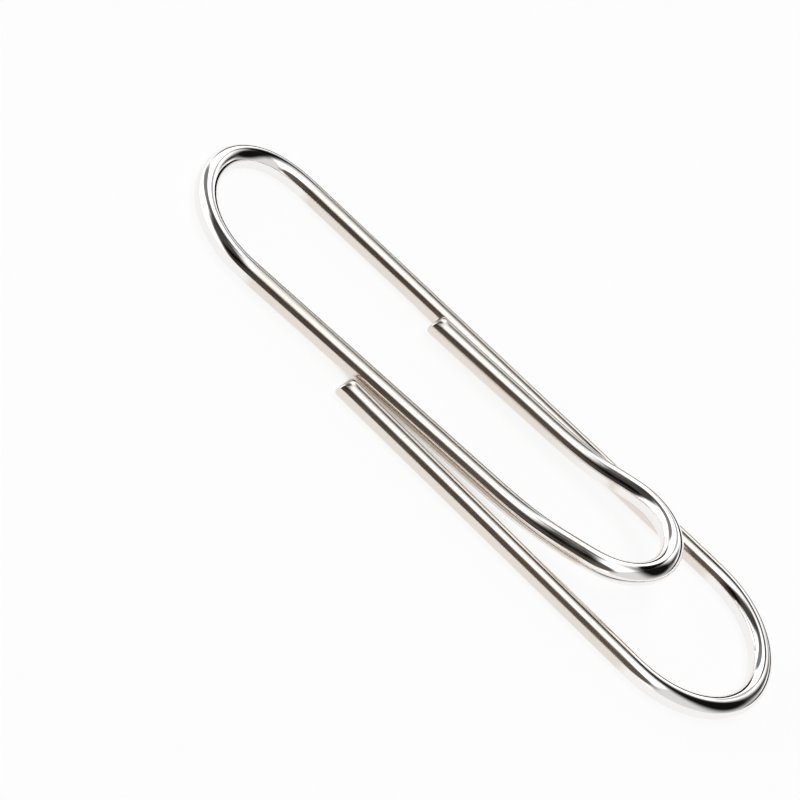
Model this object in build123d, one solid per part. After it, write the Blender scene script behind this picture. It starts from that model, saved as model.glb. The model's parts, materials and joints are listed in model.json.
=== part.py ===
from build123d import *
import os
from math import asin, atan2, cos, degrees, radians, sin, sqrt, tan

os.makedirs("parts", exist_ok=True)

# Lengths are in millimetres and angles in degrees.
# Radii and positions of the wire are given on its centre line.
# Positions along the clip are measured from the crown of the end bend.

# Wire and overall length
wire_d = 1.0
clip_length = 33.0

# Bends
end_bend_long_r = 2.6
end_bend_tongue_r = 4.5
inner_bend_r = 2.4

# Legs
short_leg_start = 11.4
end_leg_start = 10.9
short_leg_gap = 0.1
end_leg_gap = 0.13
tongue_toe_in = 0.9
end_leg_splay = 1.3

# Tongue with its raised lip
tongue_reach = 25.85
tongue_lift = 1.4
lip_start = 20.5
lip_angle = 13.2
lip_fold_r = 13.0
short_fold_r = 9.0

# Sheared ends of the wire
cut_setback = 0.15
cut_face_r = 0.9
cut_rim_r = 0.15

wire_r = wire_d / 2
up = Vector(0, 0, 1)
toe = radians(tongue_toe_in)
splay = radians(end_leg_splay)


def straight(frame, length):
    ahead = Plane(frame.origin + frame.z_dir * length, frame.x_dir, frame.z_dir)
    return extrude(frame * Circle(wire_r), length), ahead


def bend(frame, turn_axis, radius, angle):
    centre = frame.origin + turn_axis.cross(frame.z_dir) * radius
    axis = Axis(centre, turn_axis)
    spoke = (frame.origin - centre).rotate(axis, angle)
    ahead = Plane(centre + spoke, frame.x_dir.rotate(axis, angle), frame.z_dir.rotate(axis, angle))
    return revolve(frame * Circle(wire_r), axis, angle), ahead


def shear_waste(tip, outward):
    # What a rounded, leaning cut takes away: the top of the wire ends before its underside.
    half_chord = sqrt(wire_r**2 + (cut_setback / 2)**2)
    depth = sqrt(cut_face_r**2 - half_chord**2)
    lean = atan2(cut_setback, wire_d)
    face_x = -cut_setback / 2 - depth * cos(lean)
    face_y = -depth * sin(lean)
    block = Pos((wire_d + face_x) / 2, 0) * Rectangle(wire_d - face_x, 2 * wire_d)
    profile = block - Pos(face_x, face_y) * Circle(cut_face_r)
    side = Plane(tip, x_dir=outward, z_dir=outward.cross(up))
    return extrude(side * profile, wire_d, both=True)


def cut_end(wire, tip, outward):
    cut = wire - shear_waste(tip, outward)
    rim = new_edges(wire, combined=cut)
    return fillet(rim, cut_rim_r)


# Middle leg of the tongue, laid out flat with the crown at zero
middle_leg_x = end_bend_tongue_r * (1 + sin(toe))
middle_leg_y = -end_bend_tongue_r * cos(toe)
end_leg_y = middle_leg_y + (end_leg_start - middle_leg_x) * tan(toe) - wire_d - end_leg_gap
short_leg_y = end_bend_long_r - wire_d - short_leg_gap

# Outer bend that meets the long leg, the splayed end leg and the clip's full length
outer_bend_x = clip_length - wire_d
end_leg_run = outer_bend_x - end_leg_start
end_leg_rise = end_bend_long_r - end_leg_y
outer_bend_r = (end_leg_run * sin(splay) + end_leg_rise * cos(splay)) / (1 + sin(splay) + cos(splay))

# The crown's place, with the clip centred on X and Y and lying on Z = 0
crown = Vector(wire_r - clip_length / 2, outer_bend_r - end_bend_long_r, wire_r)

# Outer loop: end leg, outer bend, long leg and half of the end bend
end_leg_dir = Vector(cos(splay), -sin(splay), 0)
end_leg_tip = crown + Vector(end_leg_start, end_leg_y, 0)
outer_bend_start = crown + Vector(outer_bend_x - outer_bend_r * (1 + sin(splay)),
                                  end_bend_long_r - outer_bend_r * (1 + cos(splay)), 0)
end_leg_length = (outer_bend_start - end_leg_tip).dot(end_leg_dir)
long_leg_length = outer_bend_x - outer_bend_r - end_bend_long_r

end_leg, ahead = straight(Plane(end_leg_tip, up, end_leg_dir), end_leg_length)
outer_bend, ahead = bend(ahead, up, outer_bend_r, 180 + end_leg_splay)
long_leg, ahead = straight(ahead, long_leg_length)
long_side_crown, ahead = bend(ahead, up, end_bend_long_r, 90)
outer_loop = end_leg + outer_bend + long_leg + long_side_crown
outer_loop = cut_end(outer_loop, end_leg_tip, end_leg_dir * -1)

# Inner loop: the other half of the end bend, middle leg, lipped inner bend and short leg
short_bend_r = (short_leg_y - middle_leg_y
                - (inner_bend_r + (tongue_reach - inner_bend_r - middle_leg_x) * sin(toe)) / cos(toe))
middle_leg_end = tongue_reach - inner_bend_r * (1 - sin(toe))
fold_tangent = lip_fold_r * tan(radians(lip_angle) / 2)
middle_leg_length = (lip_start - middle_leg_x) / cos(toe) - fold_tangent
lip_side_length = (middle_leg_end - lip_start) / cos(toe) - fold_tangent

tongue_side_crown, ahead = bend(Plane(crown, up, Vector(0, -1, 0)), up, end_bend_tongue_r, 90 + tongue_toe_in)
middle_leg, ahead = straight(ahead, middle_leg_length)
lip_fold, ahead = bend(ahead, ahead.z_dir.cross(up), lip_fold_r, lip_angle)
lip_side, ahead = straight(ahead, lip_side_length)
lip_normal = ahead.z_dir.cross(up.cross(ahead.z_dir).normalized())
inner_bend, ahead = bend(ahead, lip_normal, inner_bend_r, 90 - tongue_toe_in)
short_bend, ahead = bend(ahead, lip_normal, short_bend_r, 90)

# The lip comes down again to the short leg, level with the middle leg
fall = asin(-ahead.z_dir.Z)
fold_height = short_fold_r * (1 - cos(fall))
short_side, ahead = straight(ahead, (ahead.origin.Z - crown.Z - fold_height) / sin(fall))
short_fold, ahead = bend(ahead, ahead.z_dir.cross(up).normalized(), short_fold_r, degrees(fall))
short_leg, ahead = straight(ahead, ahead.origin.X - crown.X - short_leg_start)
inner_loop = tongue_side_crown + middle_leg + lip_fold + lip_side + inner_bend
inner_loop = inner_loop + short_bend + short_side + short_fold + short_leg
inner_loop = cut_end(inner_loop, ahead.origin, ahead.z_dir)

# The tongue stands a little open, turned about the wire at the crown
inner_loop = inner_loop.rotate(Axis(crown, Vector(0, -1, 0)), tongue_lift)

for name, shape in (("outer_loop", outer_loop), ("inner_loop", inner_loop)):
    solid = shape.solid()
    solid.label = name
    export_step(solid, f"parts/{name}.step")
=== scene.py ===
import json
import math

import bmesh
import bpy
from mathutils import Matrix, Vector, noise


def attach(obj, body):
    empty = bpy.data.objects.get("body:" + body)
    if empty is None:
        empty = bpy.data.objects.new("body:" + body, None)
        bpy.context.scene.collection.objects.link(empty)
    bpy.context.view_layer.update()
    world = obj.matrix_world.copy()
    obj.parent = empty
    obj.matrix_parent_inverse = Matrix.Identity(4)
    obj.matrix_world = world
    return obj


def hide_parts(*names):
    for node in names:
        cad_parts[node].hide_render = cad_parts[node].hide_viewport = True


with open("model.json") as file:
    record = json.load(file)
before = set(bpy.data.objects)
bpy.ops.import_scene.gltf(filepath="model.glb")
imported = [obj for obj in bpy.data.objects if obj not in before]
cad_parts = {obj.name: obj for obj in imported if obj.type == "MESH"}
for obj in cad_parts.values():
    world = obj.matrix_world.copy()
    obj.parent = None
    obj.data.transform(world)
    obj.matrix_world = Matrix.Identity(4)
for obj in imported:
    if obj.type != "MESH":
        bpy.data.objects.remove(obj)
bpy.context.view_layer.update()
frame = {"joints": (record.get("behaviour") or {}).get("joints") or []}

mm = 0.001
up = Vector((0, 0, 1))
tiny = 1e-9  # lengths and curls below this count as nothing
joint = next(j for j in frame["joints"] if j["name"] == "tongue_lift")
crown = Vector(joint["pos_m"]) / mm  # where the two loops of the wire meet
lift = -joint["range_deg"][0]  # how far the tongue stands open at rest
print("frame loaded, crown at", tuple(round(c, 3) for c in crown))


# the wire is made straight, cut, and then bent along its route
# lengths are in millimetres and angles in degrees, up to the finished mesh
wire = {
    "radius": 0.499,
    "sides": 64,
    "step": 0.1,  # from ring to ring
    "nudge": 0.001,  # share of a step, so that each ring counts as standing at its own place
    "seam": 0.01,  # first ring at the crown, thin so that the shine runs on over the seam
    "ease": 1.2,  # the length over which a bend begins or ends
    "wave": 0.002,  # drawn wire is never quite round or straight
    "waveLength": 1.7,
    "fullCurl": 0.1,  # from this curl on, a bend counts in full: the bending tool has rubbed its plate smoother, and its colour is lighter, partly as a painted sheen
}
# a sheared end: the top stops short of the underside, and the face is a little round
cut = {
    "setback": 0.15,
    "faceRadius": 0.9,
    "sleeve": 6,  # rings that lean over to the slant of the cut
    "pull": 0.04,  # the blade draws the upper edge down
    "rim": 0.15,
    "rimSegments": 4,
    "inset": (0.1, 0.1, 0.1, 0.1),
    "bareDepth": 0.04,  # how far behind the face the steel is still bare
    "bareEdge": 0.02,  # the plate ends this far inside the wire's side
    "bareFade": 0.05,
}


def startRoute(heading):
    turn = heading.to_track_quat("Z", "X").to_matrix().to_4x4()
    stand = Matrix.Translation(crown) @ turn
    return {"stand": stand, "stands": [stand], "curls": [0.0], "left": wire["step"], "length": 0.0}


def routePlace(route):
    return route["stand"].translation.copy()


def routeHeading(route):
    return route["stand"].col[2].to_3d()


# feeds a length of wire: its curl, one over the bend's radius, runs evenly from start to end
def feed(route, length, axis=up, curlStart=0.0, curlEnd=0.0):
    done = 0.0
    while length - done > tiny:
        part = min(route["left"], length - done)
        curl = curlStart + (curlEnd - curlStart) * (done + part / 2) / length
        if abs(curl) < tiny:
            move = Matrix.Translation(routeHeading(route) * part)
        else:
            centre = routePlace(route) + axis.cross(routeHeading(route)) / curl
            turn = Matrix.Rotation(curl * part, 4, axis)
            move = Matrix.Translation(centre) @ turn @ Matrix.Translation(-centre)
        route["stand"] = move @ route["stand"]
        route["left"] -= part
        done += part
        if route["left"] < tiny:
            route["stands"].append(route["stand"])
            route["curls"].append(curl)
            route["left"] = wire["step"]
    route["length"] += length


# an eased bend is a little tighter, so that its legs stay on their lines
# 24 and 2688 belong to the series of a spiral's step sideways, and 240 to that of its length on the leg
def easedRadius(radius, ease):
    tight = radius - ease**2 / (24 * radius)
    return radius - ease**2 / (24 * tight) + ease**4 / (2688 * tight**3)


# what an eased bend takes from the leg beside it, with its other end eased as well or sharp
def easeTake(radius, ease, otherEased=True):
    take = ease / 2 - ease**3 / (240 * radius**2)
    return take if otherEased else take - (radius - easedRadius(radius, ease))


def bend(route, axis, radius, angle, easeIn, easeOut):
    curl = 1 / easedRadius(radius, max(easeIn, easeOut))
    feed(route, easeIn, axis, 0, curl)
    feed(route, math.radians(angle) / curl - (easeIn + easeOut) / 2, axis, curl, curl)
    feed(route, easeOut, axis, curl, 0)


# the length of a plain arc that turns as far as a soft fold at the same curl
def foldArc(fold):
    return fold["easeIn"] / 2 + fold["arc"] + fold["easeOut"] / 2


# where the lines of a soft fold's two legs meet, from its start and from its end
def foldReach(fold):
    before = fold["easeIn"]**2 / 3 + fold["arc"] * (fold["easeIn"] + fold["arc"] / 2)
    before += fold["easeOut"] / 2 * (fold["easeIn"] + fold["arc"] + fold["easeOut"] / 3)
    reach = before / foldArc(fold)
    return reach, fold["easeIn"] + fold["arc"] + fold["easeOut"] - reach


def makeFold(route, axis, fold, angle):
    curl = math.radians(angle) / foldArc(fold)
    feed(route, fold["easeIn"], axis, 0, curl)
    feed(route, fold["arc"], axis, curl, curl)
    feed(route, fold["easeOut"], axis, curl, 0)


# how far the cut face stands back from the tip at a height over the wire's middle
def cutFace(height):
    lean = math.atan2(cut["setback"], 2 * wire["radius"])
    depth = math.sqrt(cut["faceRadius"]**2 - wire["radius"]**2 - (cut["setback"] / 2)**2)
    rise = height + depth * math.sin(lean)
    return math.sqrt(cut["faceRadius"]**2 - rise**2) - cut["faceRadius"]


def makeStraightWire(length):
    bm = bmesh.new()
    rings = int(length / wire["step"])
    farEnd = Matrix.Translation(up * rings * wire["step"])
    bmesh.ops.create_circle(bm, cap_ends=True, segments=wire["sides"], radius=wire["radius"])
    bmesh.ops.create_circle(bm, segments=wire["sides"], radius=wire["radius"], matrix=farEnd)
    walls = bmesh.ops.bridge_loops(bm, edges=bm.edges[:])["edges"]
    bmesh.ops.subdivide_edges(bm, edges=walls, cuts=rings - 1, use_grid_fill=True)
    rim = [e for e in bm.edges if e.is_boundary]
    everything = bm.verts[:] + bm.edges[:] + bm.faces[:]
    bmesh.ops.bisect_plane(bm, geom=everything, plane_co=up * wire["seam"], plane_no=up)
    cutEnd(bm, rim, length, (rings - cut["sleeve"]) * wire["step"], rings * wire["step"])
    bmesh.ops.recalc_face_normals(bm, faces=bm.faces)
    return bm


def cutEnd(bm, rim, length, sleeveStart, sleeveEnd):
    for v in bm.verts:
        share = (v.co.z - sleeveStart) / (sleeveEnd - sleeveStart)
        if share > 0:
            v.co.z = sleeveStart + share * (length + cutFace(v.co.x) - sleeveStart)
            v.co.x -= cut["pull"] * share**3 * max(0, v.co.x / wire["radius"])
    face = bmesh.ops.edgeloop_fill(bm, edges=rim)["faces"][0]
    for thickness in cut["inset"]:
        bmesh.ops.inset_region(bm, faces=[face], thickness=thickness, use_even_offset=True)
        for v in face.verts:
            v.co.z = length + cutFace(v.co.x)
    bmesh.ops.poke(bm, faces=[face])
    bmesh.ops.bevel(bm, geom=rim, offset=cut["rim"], offset_type="OFFSET", segments=cut["rimSegments"],
                    profile=0.5, affect="EDGES", material=-1, clamp_overlap=True)


# notes each point's place on the straight wire, and how bare the steel is at a cut
def markWire(bm, length, along):
    place = bm.verts.layers.float_vector.new("wirePlace")
    bare = bm.verts.layers.float.new("bareSteel")
    for v in bm.verts:
        v[place] = (v.co.x, -along * v.co.y, along * v.co.z)
        inward = wire["radius"] - cut["bareEdge"] - math.hypot(v.co.x, v.co.y)
        atCut = v.co.z > length + cutFace(min(v.co.x, wire["radius"])) - cut["bareDepth"]
        v[bare] = min(1, max(0, inward / cut["bareFade"])) if atCut else 0
    for e in bm.edges:  # only the cap at the crown has a sharp edge
        e.smooth = max(v.co.z for v in e.verts) > tiny or len(e.link_faces) < 2
    return place


def waveWire(bm, place):
    for v in bm.verts:
        spoke = Vector((v.co.x, v.co.y, 0))
        if spoke.length > wire["radius"] / 2:
            swing = noise.noise(v[place] / wire["waveLength"])
            v.co -= spoke.normalized() * wire["wave"] * (1 + swing)


# sets each ring of the straight wire on the route, and notes how hard it was bent there
def bendWire(bm, route):
    worked = bm.verts.layers.float.new("workedBend")
    stands, curls = route["stands"], route["curls"]
    curls[0] = curls[1]  # the crown is in the middle of a bend
    for v in bm.verts:
        ring = min(int(v.co.z / wire["step"] + wire["nudge"]), len(stands) - 1)
        v[worked] = min(1, curls[ring] / wire["fullCurl"])
        v.co.z -= ring * wire["step"]
        v.co = stands[ring] @ v.co


def addObject(name, data):
    obj = bpy.data.objects.new(name, data)
    bpy.context.scene.collection.objects.link(obj)
    return obj


def addMesh(name, bm):
    mesh = bpy.data.meshes.new(name)
    bm.to_mesh(mesh)
    bm.free()
    return addObject(name, mesh)


def makeLoop(route, name, body, along, turn=None):
    bm = makeStraightWire(route["length"])
    place = markWire(bm, route["length"], along)
    waveWire(bm, place)
    bendWire(bm, route)
    if turn:
        bmesh.ops.transform(bm, matrix=turn, verts=bm.verts)
    bmesh.ops.scale(bm, vec=(mm, mm, mm), verts=bm.verts)
    for f in bm.faces:
        f.smooth = True
    obj = addMesh(name, bm)
    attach(obj, body)
    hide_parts(body)
    print(name, "is", round(route["length"], 2), "mm of wire with", len(obj.data.polygons), "faces")
    return obj


# outer loop, from the crown round the long leg and the outer bend to the end leg
outerLoop = {
    "length": 33.0,
    "endBend": 2.6,
    "endBendEase": 2.4,  # the long leg goes into its bend slowly
    "endLegStart": 10.9,
    "endLegGap": 0.13,
    "endLegSplay": 1.3,
}
# inner loop, from the crown down the middle leg, round the raised lip and back up the short leg
innerLoop = {
    "endBend": 4.5,
    "toeIn": 0.9,
    "reach": 25.85,
    "lipStart": 20.5,
    "lipAngle": 13.2,
    "lipFold": {"easeIn": 2.6, "arc": 1.0, "easeOut": 1.2},
    "shortFold": {"easeIn": 0.4, "arc": 0.0, "easeOut": 3.6},  # it runs out slowly along the short leg
    "innerBend": 2.4,
    "shortLegStart": 11.4,
    "shortLegGap": 0.1,
}
wireWidth = 2 * wire["radius"]
toeIn = math.radians(innerLoop["toeIn"])
splay = math.radians(outerLoop["endLegSplay"])
middleLegX = innerLoop["endBend"] * (1 + math.sin(toeIn))
middleLegY = -innerLoop["endBend"] * math.cos(toeIn)


def makeOuterLoop():
    toEndLeg = outerLoop["endLegStart"] - middleLegX
    endLegY = middleLegY + toEndLeg * math.tan(toeIn) - wireWidth - outerLoop["endLegGap"]
    far = outerLoop["length"] - wireWidth
    run = far - outerLoop["endLegStart"]
    rise = outerLoop["endBend"] - endLegY
    radius = (run * math.sin(splay) + rise * math.cos(splay)) / (1 + math.sin(splay) + math.cos(splay))
    endBend, endEase, ease = outerLoop["endBend"], outerLoop["endBendEase"], wire["ease"]
    route = startRoute(Vector((0, 1, 0)))
    bend(route, -up, endBend, 90, 0, endEase)
    feed(route, far - radius - endBend - easeTake(endBend, endEase, False) - easeTake(radius, ease))
    bend(route, -up, radius, 180 + outerLoop["endLegSplay"], ease, ease)
    feed(route, (run - radius * (1 + math.sin(splay))) / math.cos(splay) - easeTake(radius, ease))
    return makeLoop(route, "outer_loop_wire", "outer_loop", -1)


def makeInnerLoop():
    endBend, tipBend, ease = innerLoop["endBend"], innerLoop["innerBend"], wire["ease"]
    toFold, fromFold = foldReach(innerLoop["lipFold"])
    toShortFold = foldReach(innerLoop["shortFold"])[0]
    reach = innerLoop["reach"]
    shortLegY = outerLoop["endBend"] - wireWidth - innerLoop["shortLegGap"]
    acrossTip = (tipBend + (reach - tipBend - middleLegX) * math.sin(toeIn)) / math.cos(toeIn)
    shortBend = shortLegY - middleLegY - acrossTip
    middleLegEnd = reach - tipBend * (1 - math.sin(toeIn))
    middleLeg = (innerLoop["lipStart"] - middleLegX) / math.cos(toeIn) - toFold
    lipSide = (middleLegEnd - innerLoop["lipStart"]) / math.cos(toeIn) - fromFold
    route = startRoute(Vector((0, -1, 0)))
    bend(route, up, endBend, 90 + innerLoop["toeIn"], 0, ease)
    feed(route, middleLeg - easeTake(endBend, ease, False))
    makeFold(route, routeHeading(route).cross(up), innerLoop["lipFold"], innerLoop["lipAngle"])
    feed(route, lipSide - easeTake(tipBend, ease, False))
    lipNormal = routeHeading(route).cross(up.cross(routeHeading(route)).normalized())
    bend(route, lipNormal, tipBend, 90 - innerLoop["toeIn"], ease, 0)
    bend(route, lipNormal, shortBend, 90, 0, ease)
    fall = math.asin(-routeHeading(route).z)  # the lip comes down again to the short leg
    feed(route, (routePlace(route).z - crown.z) / math.sin(fall) - toShortFold)
    makeFold(route, routeHeading(route).cross(up).normalized(), innerLoop["shortFold"], math.degrees(fall))
    feed(route, routePlace(route).x - crown.x - innerLoop["shortLegStart"])
    swing = Matrix.Rotation(math.radians(lift), 4, Vector(joint["axis"]))
    opened = Matrix.Translation(crown) @ swing @ Matrix.Translation(-crown)
    return makeLoop(route, "inner_loop_wire", "inner_loop", 1, opened)


outerWire = makeOuterLoop()
innerWire = makeInnerLoop()


# a node with its settings; an input takes a value or the output that is linked to it
def addNode(tree, kind, inputs=None, **settings):
    made = tree.nodes.new(kind)
    for name, value in settings.items():
        setattr(made, name, value)
    for key, value in (inputs or {}).items():
        if isinstance(value, bpy.types.NodeSocket):
            tree.links.new(value, made.inputs[key])
        else:
            made.inputs[key].default_value = value
    return made


def rgba(colour):
    return (*colour, 1)


# the Mix node has its colours on sockets 6 and 7, and the mixed colour comes out of socket 2
def mixColours(tree, factor, first, second, blend="MIX"):
    inputs = {0: factor, 6: first, 7: second}
    return addNode(tree, "ShaderNodeMix", inputs, data_type="RGBA", blend_type=blend).outputs[2]


def combine(tree, operation, first, second):
    return addNode(tree, "ShaderNodeMath", {0: first, 1: second}, operation=operation).outputs["Value"]


# maps a value from one range to another
def mapTo(tree, value, before, after, **settings):
    inputs = {"Value": value, "From Min": before[0], "From Max": before[1],
              "To Min": after[0], "To Max": after[1]}
    return addNode(tree, "ShaderNodeMapRange", inputs, **settings).outputs["Result"]


def noisePattern(tree, vector, scale, detail):
    inputs = {"Vector": vector, "Scale": scale, "Detail": detail}
    return addNode(tree, "ShaderNodeTexNoise", inputs).outputs["Fac"]


def stretch(tree, vector, scale):
    return addNode(tree, "ShaderNodeMapping", {"Vector": vector, "Scale": scale}).outputs["Vector"]


def attribute(tree, name, output):
    return addNode(tree, "ShaderNodeAttribute", attribute_name=name).outputs[output]


def newMaterial(name):
    mat = bpy.data.materials.new(name)
    mat.use_nodes = True
    mat.node_tree.nodes.clear()
    return mat, mat.node_tree


# bright nickel on drawn wire; scales are per millimetre of wire, and depths are in millimetres
nickel = {
    "colour": (0.83, 0.77, 0.715),
    "tarnish": (0.79, 0.72, 0.65),
    "tarnishScale": 0.4,
    "rubbedAndSheen": (0.92, 0.90, 0.885),  # in the bends: plate rubbed by the bending tool, and lighter as a painted sheen
    "roughness": (0.12, 0.22),
    "rubbedShare": 0.35,  # what the bends keep of that roughness
    "hazeScale": 0.9,
    "hazeRange": (0.1, 0.45),
    "dieLines": (26, 26, 0.22),  # scratches of the drawing die, long and fine
    "dieDepth": 0.0004,
    "rippleScale": 1.3,
    "rippleDepth": 0.004,
    "pitScale": 3.0,
    "pitReach": (0.02, 0.1),
    "pitDepth": 0.0004,
    "pitDark": 0.3,
    "steel": (0.58, 0.57, 0.55),  # where the wire was cut through
    "steelRoughness": 0.3,
    "shear": (2.0, 34.0, 2.0),  # streaks of the blade
    "shearDepth": 0.004,
}


def makeNickel():
    mat, tree = newMaterial("brightNickel")
    place = attribute(tree, "wirePlace", "Vector")
    bare = attribute(tree, "bareSteel", "Fac")
    worked = attribute(tree, "workedBend", "Fac")

    lines = noisePattern(tree, stretch(tree, place, nickel["dieLines"]), 1, 3)
    ripple = noisePattern(tree, place, nickel["rippleScale"], 1)
    haze = noisePattern(tree, place, nickel["hazeScale"], 4)
    cloud = noisePattern(tree, place, nickel["tarnishScale"], 3)
    cells = addNode(tree, "ShaderNodeTexVoronoi", {"Vector": place, "Scale": nickel["pitScale"]})
    pit = mapTo(tree, cells.outputs["Distance"], nickel["pitReach"], (nickel["pitDark"], 0))
    streaks = noisePattern(tree, stretch(tree, place, nickel["shear"]), 1, 4)

    # colour: slow tarnish, lighter in the bends (rubbed plate and a painted sheen), darker in the pits,
    # bare steel at the cuts
    plate = mixColours(tree, cloud, rgba(nickel["colour"]), rgba(nickel["tarnish"]))
    rubbedAndSheen = mixColours(tree, worked, plate, rgba(nickel["rubbedAndSheen"]))
    pitted = mixColours(tree, pit, rubbedAndSheen, rgba(nickel["steel"]))
    colour = mixColours(tree, bare, pitted, rgba(nickel["steel"]))

    # gloss: die lines under a patchy haze, smoother in the bends, dull where the steel is bare
    gloss = mapTo(tree, combine(tree, "MULTIPLY", lines, haze), nickel["hazeRange"], nickel["roughness"])
    shine = combine(tree, "MULTIPLY", gloss, mapTo(tree, worked, (0, 1), (1, nickel["rubbedShare"])))
    inputs = {0: bare, 2: shine, 3: nickel["steelRoughness"]}
    rough = addNode(tree, "ShaderNodeMix", inputs, data_type="FLOAT")

    # relief: ripples, die lines, pits and the blade's streaks
    relief = None
    for height, depth in ((ripple, nickel["rippleDepth"]),
                          (lines, nickel["dieDepth"]),
                          (pit, -nickel["pitDepth"]),
                          (combine(tree, "MULTIPLY", streaks, bare), nickel["shearDepth"])):
        inputs = {"Height": height, "Distance": abs(depth) * mm}
        bump = addNode(tree, "ShaderNodeBump", inputs, invert=depth < 0)
        if relief:
            tree.links.new(relief, bump.inputs["Normal"])
        relief = bump.outputs["Normal"]

    shader = addNode(tree, "ShaderNodeBsdfPrincipled", {"Base Color": colour, "Metallic": 1,
                                                        "Roughness": rough.outputs[0], "Normal": relief})
    addNode(tree, "ShaderNodeOutputMaterial", {"Surface": shader.outputs["BSDF"]})
    return mat


nickelMat = makeNickel()
for piece in (outerWire, innerWire):
    piece.data.materials.append(nickelMat)
print("nickel finish made")


# white table; the lift keeps it white to the eye and in the metal, and thins the object's shadow
table = {
    "size": 2.0,  # in metres
    "colour": (0.93, 0.93, 0.93),
    "lift": 0.9,
    "gap": 1.5,  # how near the wire must be to shade the lifted white
    "gapLean": 40,  # the shade is looked for from the near side, so only what two legs close in gets it
    "gapShade": (0.17, 0.42),  # from fully shaded to clear
    "gapSamples": 16,
}


def makeTable():
    bm = bmesh.new()
    bmesh.ops.create_grid(bm, x_segments=1, y_segments=1, size=table["size"] / 2)
    obj = addMesh("whiteTable", bm)
    mat, tree = newMaterial("whiteTable")
    paint = addNode(tree, "ShaderNodeBsdfDiffuse", {"Color": rgba(table["colour"])})
    path = addNode(tree, "ShaderNodeLightPath")
    seen = combine(tree, "MAXIMUM", path.outputs["Is Camera Ray"], path.outputs["Is Glossy Ray"])
    lean = math.radians(table["gapLean"])
    near = addNode(tree, "ShaderNodeCombineXYZ", {"Y": -math.sin(lean), "Z": math.cos(lean)})
    inputs = {"Distance": table["gap"] * mm, "Normal": near.outputs["Vector"]}
    close = addNode(tree, "ShaderNodeAmbientOcclusion", inputs, samples=table["gapSamples"])
    clear = mapTo(tree, close.outputs["AO"], table["gapShade"], (0, table["lift"]))
    lifted = combine(tree, "MULTIPLY", seen, clear)
    white = addNode(tree, "ShaderNodeEmission", {"Color": rgba((1, 1, 1)), "Strength": 1})
    both = addNode(tree, "ShaderNodeMixShader", {0: lifted, 1: paint.outputs["BSDF"],
                                                 2: white.outputs["Emission"]})
    addNode(tree, "ShaderNodeOutputMaterial", {"Surface": both.outputs["Shader"]})
    obj.data.materials.append(mat)


makeTable()
print("table laid")


# the studio: a white tent with soft dark areas, which draw the stripes on the wire
# an area's size is its half widths on the unit sphere, and its core is the share that is fully dark
studio = {
    "bright": 1.65,
    "darkAreas": (
        {"name": "back right", "azimuth": 37, "elevation": 48, "turn": -45,
         "size": (0.65, 1.05), "core": 0.39, "colour": (0.008, 0.008, 0.008)},
        {"name": "low right", "azimuth": 67, "elevation": 28, "turn": 74,
         "size": (0.28, 0.42), "core": 0.13, "colour": (0.053, 0.053, 0.053)},
        {"name": "back", "azimuth": 94, "elevation": 52, "turn": -61,
         "size": (0.365, 0.13), "core": 0.63, "colour": (0.006, 0.006, 0.006)},
        {"name": "seam", "azimuth": 100, "elevation": 29, "turn": -18,
         "size": (0.154, 0.164), "core": 0.63, "colour": (0.29, 0.305, 0.325)},
        {"name": "far wall", "azimuth": 83, "elevation": 6.5, "turn": -86,
         "size": (0.2, 1.23), "core": 0.64, "colour": (0.002, 0.002, 0.002)},
        {"name": "front", "azimuth": -7, "elevation": 26, "turn": 23,
         "size": (1.19, 0.75), "core": 0.85, "colour": (0.46, 0.46, 0.46)},
        {"name": "camera side", "azimuth": -99, "elevation": 28, "turn": 0,
         "size": (0.67, 0.57), "core": 0.63, "colour": (0.072, 0.058, 0.05)},
        {"name": "low front", "azimuth": -103, "elevation": 5, "turn": -20,
         "size": (0.466, 0.253), "core": 0.4, "colour": (0.28, 0.27, 0.26)},
        {"name": "near left", "azimuth": -142, "elevation": 48.5, "turn": -32,
         "size": (0.925, 0.48), "core": 0.48, "colour": (0.038, 0.036, 0.034)},
        {"name": "left", "azimuth": 152, "elevation": 42, "turn": 81,
         "size": (0.74, 0.25), "core": 0.6, "colour": (0.13, 0.13, 0.13)},
    ),
}


def direction(azimuth, elevation):
    a, e = math.radians(azimuth), math.radians(elevation)
    return Vector((math.cos(e) * math.cos(a), math.cos(e) * math.sin(a), math.sin(e)))


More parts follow.
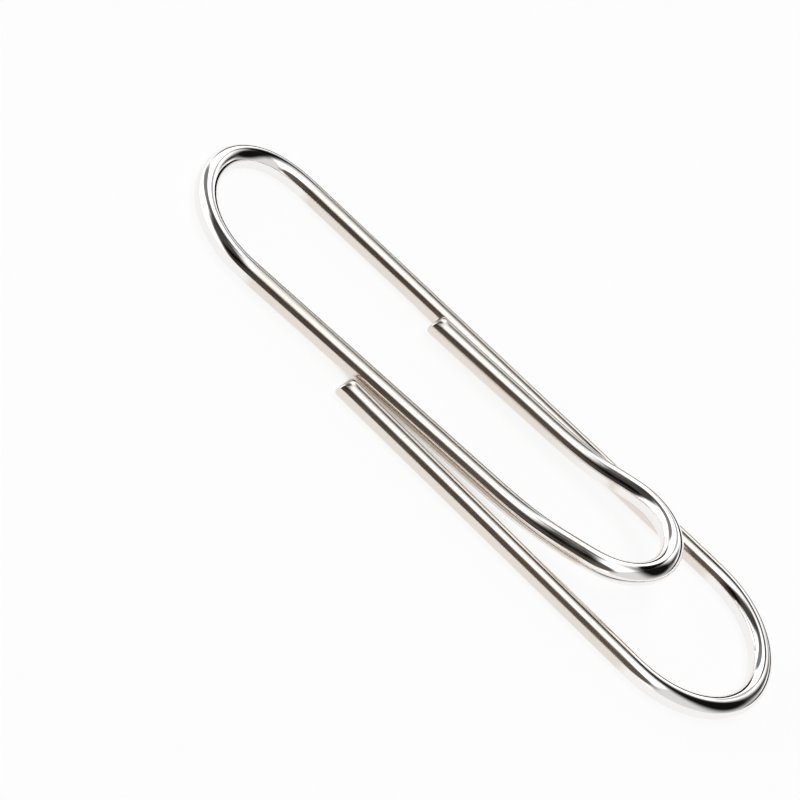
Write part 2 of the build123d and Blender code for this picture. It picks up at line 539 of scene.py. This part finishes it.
def makeStudio():
    world = bpy.data.worlds.new("studio")
    bpy.context.scene.world = world
    world.use_nodes = True
    tree = world.node_tree
    tree.nodes.clear()
    coords = addNode(tree, "ShaderNodeTexCoord").outputs["Generated"]
    light = rgba((studio["bright"],) * 3)
    for area in studio["darkAreas"]:
        towards = direction(area["azimuth"], area["elevation"])
        across = up.cross(towards).normalized()
        axes = Matrix((towards, across, towards.cross(across))).transposed()
        axes = axes @ Matrix.Rotation(math.radians(area["turn"]), 3, "X")
        inputs = {"Vector": coords, "Location": towards, "Rotation": axes.to_euler(),
                  "Scale": (1, *area["size"])}
        place = addNode(tree, "ShaderNodeMapping", inputs, vector_type="TEXTURE", label=area["name"])
        away = addNode(tree, "ShaderNodeVectorMath", {0: place.outputs["Vector"]}, operation="LENGTH")
        inside = mapTo(tree, away.outputs["Value"], (area["core"], 1), (1, 0),
                       interpolation_type="SMOOTHSTEP")
        light = mixColours(tree, inside, light, rgba(area["colour"]), "MULTIPLY")
    path = addNode(tree, "ShaderNodeLightPath")
    seen = mixColours(tree, path.outputs["Is Camera Ray"], light, rgba((1, 1, 1)))
    tent = addNode(tree, "ShaderNodeBackground", {"Color": seen, "Strength": 1})
    addNode(tree, "ShaderNodeOutputWorld", {"Surface": tent.outputs["Background"]})


# one large lamp overhead; it lights the table, and the wire mirrors only the tent
softbox = {"azimuth": 90, "elevation": 86, "distance": 400, "size": 280, "watts": 0.5}


def hangSoftbox():
    data = bpy.data.lights.new("softbox", "AREA")
    data.size = softbox["size"] * mm
    data.energy = softbox["watts"]
    obj = addObject("softbox", data)
    towards = direction(softbox["azimuth"], softbox["elevation"])
    aim = towards.to_track_quat("Z", "Y").to_matrix().to_4x4()
    obj.matrix_world = Matrix.Translation(towards * softbox["distance"] * mm) @ aim
    obj.visible_glossy = False


makeStudio()
hangSoftbox()
print("studio lit")


# the camera stands where the picture was taken from, tilted on its side a little
camera = {
    "azimuth": -84.04,
    "elevation": 38.54,
    "roll": 39.74,
    "distance": 113.73,
    "aim": (-2.995, -2.4, 0.8),
    "lens": 122.675,
    "sensor": 36,
    "nearest": 1,  # where its view begins
}


def placeCamera():
    back = direction(camera["azimuth"], camera["elevation"])
    right = up.cross(back).normalized()
    axes = Matrix((right, back.cross(right), back)).transposed()
    axes = axes @ Matrix.Rotation(math.radians(camera["roll"]), 3, "Z")
    data = bpy.data.cameras.new("photoCamera")
    data.lens = camera["lens"]
    data.sensor_width = camera["sensor"]
    data.clip_start = camera["nearest"] * mm
    obj = addObject("photoCamera", data)
    place = (Vector(camera["aim"]) + back * camera["distance"]) * mm
    obj.matrix_world = Matrix.Translation(place) @ axes.to_4x4()
    bpy.context.scene.camera = obj


placeCamera()
bpy.context.scene.view_settings.view_transform = "Standard"
print("camera placed")
